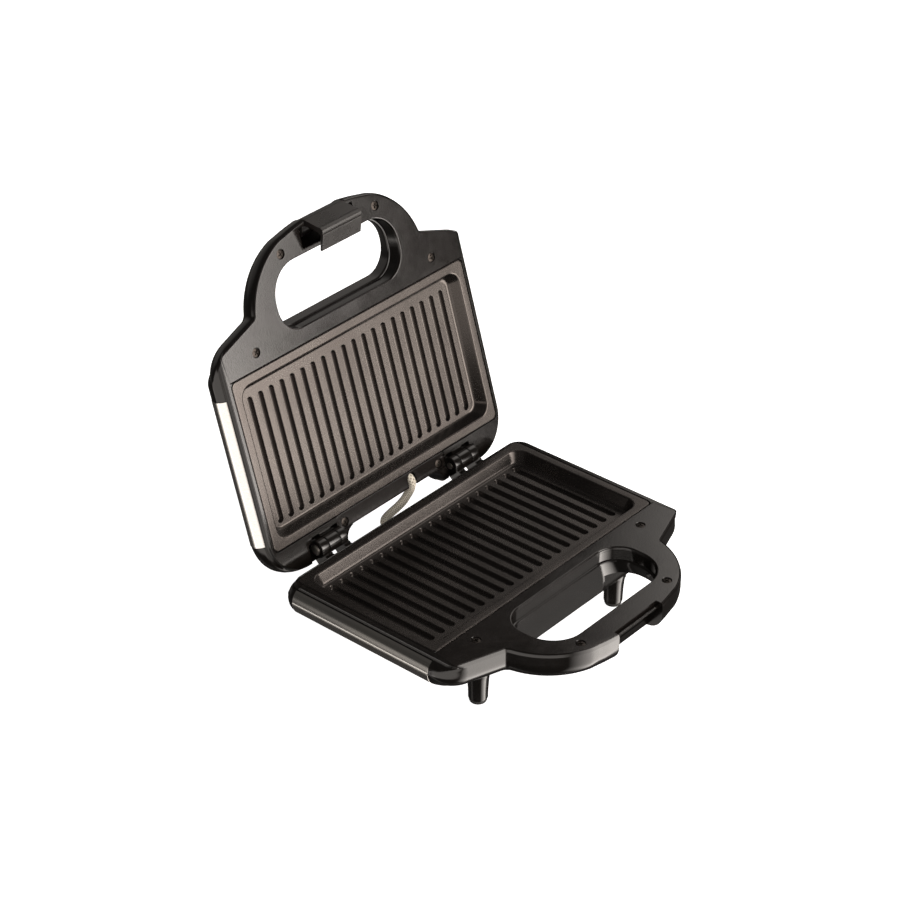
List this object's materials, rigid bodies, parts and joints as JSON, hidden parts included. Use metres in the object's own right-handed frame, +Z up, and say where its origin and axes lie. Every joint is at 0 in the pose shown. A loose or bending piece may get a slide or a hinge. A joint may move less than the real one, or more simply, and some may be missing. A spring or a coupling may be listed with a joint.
{
  "type": "sandwich toaster",
  "caption": "Countertop sandwich toaster with a hinged lid held open on its stop, ribbed cooking plates, bright steel side covers, loop handles and a swinging latch clip.",
  "frame": {"origin": "middle of the bounding box, on the surface that the feet stand on", "axes": "+X along the hinge, -Y towards the handles, +Z up"},
  "size_m": [0.242, 0.288, 0.2617],
  "materials": {
    "black_plastic": "gloss moulded",
    "steel_cover": "bright finely brushed",
    "bezel_plastic": "satin gloss moulded",
    "lower_plate": "non-stick coated casting",
    "upper_plate": "non-stick coated casting",
    "heater_sheath": "heat dulled",
    "tray_metal": "plain sheet",
    "screw_steel": "plated",
    "screw_dark": "blackened",
    "foot_plastic": "satin moulded",
    "pad_rubber": "soft matt",
    "pin_steel": "plated",
    "ceramic": "dull ceramic look",
    "pale_plastic": "moulded",
    "wire_cover": "extruded",
    "sleeve_rubber": "matt",
    "braid": "woven sleeve",
    "lens": "tinted clear",
    "latch_plastic": "gloss moulded"
  },
  "bodies": {
    "base": {"base_shell": "black_plastic", "base_steel_cover": "steel_cover", "base_bezel": "bezel_plastic", "base_grill_plate": "lower_plate", "base_heater": "heater_sheath", "base_reflector": "tray_metal", "base_heater_clips": "tray_metal", "base_plate_screws": "screw_steel", "base_bezel_screws": "screw_dark", "base_cover_screws": "screw_steel", "front_feet": "foot_plastic", "rear_feet": "foot_plastic", "foot_pads": "pad_rubber", "hinge_pins": "pin_steel", "thermostat": "ceramic", "thermal_fuse": "ceramic", "terminal_block": "pale_plastic", "base_wiring": "wire_cover", "cord_inlet": "sleeve_rubber", "lead_grommet_base": "sleeve_rubber", "link_lead": "braid"},
    "lid": {"lid_shell": "black_plastic", "lid_steel_cover": "steel_cover", "lid_bezel": "bezel_plastic", "lid_grill_plate": "upper_plate", "lid_heater": "heater_sheath", "lid_reflector": "tray_metal", "lid_heater_clips": "tray_metal", "lid_plate_screws": "screw_steel", "lid_bezel_screws": "screw_dark", "lid_rear_strip": "bezel_plastic", "lid_rear_screws": "screw_dark", "lid_wiring": "wire_cover", "lamp_lenses": "lens", "lamp_holders": "pale_plastic", "latch_pin": "pin_steel"},
    "latch": {"latch": "latch_plastic"}
  },
  "joints": [
    {"name": "lid_hinge", "type": "hinge", "parent": "base", "child": "lid", "pos_m": [0, 0.06433, 0.0625], "axis": [1, 0, 0], "range_deg": [0, 106.4], "deforming": ["link_lead"]},
    {"name": "latch_pivot", "type": "hinge", "parent": "lid", "child": "latch", "pos_m": [0, 0.13087, 0.2514], "axis": [-1, 0, 0], "range_deg": [0, 48]}
  ],
  "couplings": [
    {"joint": "latch_pivot", "follows": "lid_hinge", "ratio": 0.45}
  ]
}
